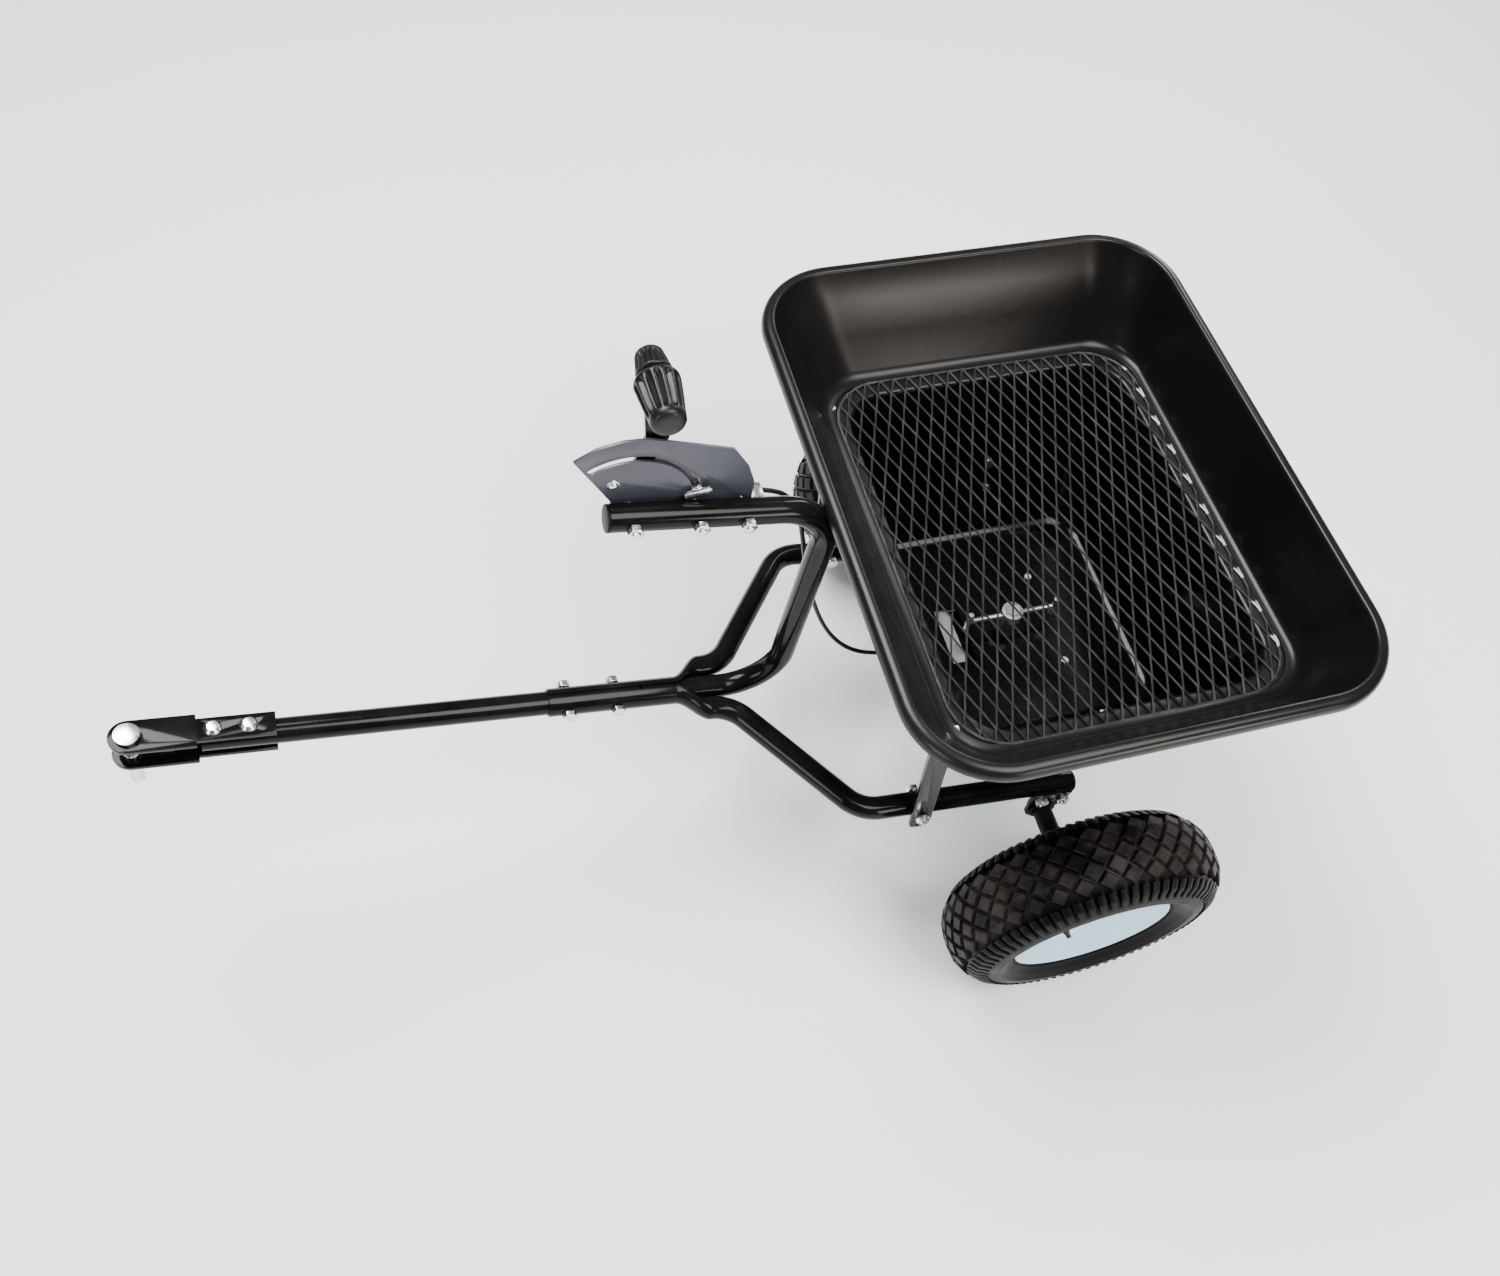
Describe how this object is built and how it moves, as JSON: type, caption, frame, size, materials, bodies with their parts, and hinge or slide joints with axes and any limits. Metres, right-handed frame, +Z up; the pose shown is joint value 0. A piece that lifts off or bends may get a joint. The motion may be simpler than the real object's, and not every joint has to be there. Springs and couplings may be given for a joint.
{
  "type": "tow behind broadcast spreader cart",
  "caption": "Two-wheeled tow-behind spreader cart: black hopper with a lift-out mesh screen on a tubular frame, axle-driven spinner, flow lever on a quadrant and a clevis hitch with a pin.",
  "frame": {"origin": "centre of the bounding box's footprint, on the ground that both tyres stand on", "axes": "+X forward, from the axle to the hitch; +Y to the machine's left; +Z up"},
  "size_m": [1.138, 0.7, 0.7451],
  "materials": {
    "hopper_poly": "moulded, satin gloss, black",
    "mesh": "black coated wire mesh, worn",
    "gear_metal": "plain steel",
    "zinc": "bright zinc plated",
    "gate_metal": "plated sheet",
    "nylon": "black nylon",
    "steel": "bright bar",
    "cast_alloy": "cast, matt",
    "rim_paint": "pale blue-grey gloss paint",
    "tyre_rubber": "black rubber, block tread",
    "valve_rubber": "black rubber",
    "plate_grey": "grey plated sheet",
    "grip": "fluted black plastic",
    "cable_skin": "black sheath",
    "frame_paint": "gloss black powder coat"
  },
  "bodies": {
    "frame": {"hopper": "hopper_poly", "gate_guide": "gate_metal", "gate_screws": "zinc", "floor_bush": "nylon", "gearbox_left": "cast_alloy", "gearbox_right": "cast_alloy", "gearbox_screws": "zinc", "shaft_bush": "nylon", "axle_bracket_left": "frame_paint", "axle_bracket_right": "frame_paint", "axle_bush_left": "nylon", "axle_bush_right": "nylon", "bracket_bolts": "zinc", "frame_tube_left": "frame_paint", "frame_tube_right": "frame_paint", "drawbar": "frame_paint", "control_tube": "frame_paint", "tube_plugs": "nylon", "joint_bolts": "zinc", "strap_front_left": "frame_paint", "strap_front_right": "frame_paint", "strap_rear_left": "frame_paint", "strap_rear_right": "frame_paint", "strap_bolts": "zinc", "hitch_strap_upper": "frame_paint", "hitch_strap_lower": "frame_paint", "hitch_bolts": "zinc", "quadrant_plate": "plate_grey", "quadrant_bolts": "zinc", "pivot_bolt": "zinc", "control_cable": "cable_skin", "cable_clamps": "zinc"},
    "axle_set": {"axle": "steel", "crown_gear": "gear_metal", "wheel_rim_right": "rim_paint", "tyre_right": "tyre_rubber", "hub_bushes_right": "nylon", "valve_stem_right": "valve_rubber", "hub_cap_left": "zinc", "hub_cap_right": "zinc", "axle_spacers": "nylon", "drive_pin": "zinc"},
    "left_wheel": {"wheel_rim_left": "rim_paint", "tyre_left": "tyre_rubber", "hub_bushes_left": "nylon", "valve_stem_left": "valve_rubber"},
    "spinner_set": {"spinner_disc": "nylon", "spinner_shaft": "steel", "drive_pinion": "gear_metal", "agitator": "gear_metal"},
    "gate": {"shutter_gate": "gate_metal"},
    "lever_set": {"lever": "frame_paint", "lever_knob": "grip"},
    "stop_set": {"stop_bolt": "zinc", "stop_slider": "plate_grey"},
    "hitch_pin_body": {"hitch_pin": "zinc"},
    "screen": {"hopper_screen": "mesh"}
  },
  "joints": [
    {"name": "axle_spin", "type": "hinge", "parent": "frame", "child": "axle_set", "pos_m": [-0.36802, 0, 0.154], "axis": [0, 1, 0], "continuous": true},
    {"name": "left_wheel_spin", "type": "hinge", "parent": "frame", "child": "left_wheel", "pos_m": [-0.36802, 0.3, 0.154], "axis": [0, 1, 0], "continuous": true},
    {"name": "spinner_spin", "type": "hinge", "parent": "frame", "child": "spinner_set", "pos_m": [-0.36802, 0, 0.2], "axis": [0, 0, 1], "continuous": true},
    {"name": "lever_swing", "type": "hinge", "parent": "frame", "child": "lever_set", "pos_m": [0.07009, 0, 0.57878], "axis": [0, 1, 0], "range_deg": [-45, 30]},
    {"name": "gate_slide", "type": "slide", "parent": "frame", "child": "gate", "axis": [1, 0, 0], "range_m": [-0.0125, 0.0185]},
    {"name": "stop_adjust", "type": "hinge", "parent": "frame", "child": "stop_set", "pos_m": [0.07009, 0, 0.57878], "axis": [0, 1, 0], "range_deg": [0, 45]},
    {"name": "hitch_pin_lift", "type": "slide", "parent": "frame", "child": "hitch_pin_body", "axis": [-0.1788, 0, 0.9839], "range_m": [0, 0.08]},
    {"name": "screen_lift", "type": "slide", "parent": "frame", "child": "screen", "axis": [0, 0, 1], "range_m": [0, 0.13]}
  ],
  "couplings": [
    {"joint": "spinner_spin", "follows": "axle_spin", "ratio": -3.75},
    {"joint": "gate_slide", "follows": "lever_swing", "m_per_rad": -0.0229}
  ]
}
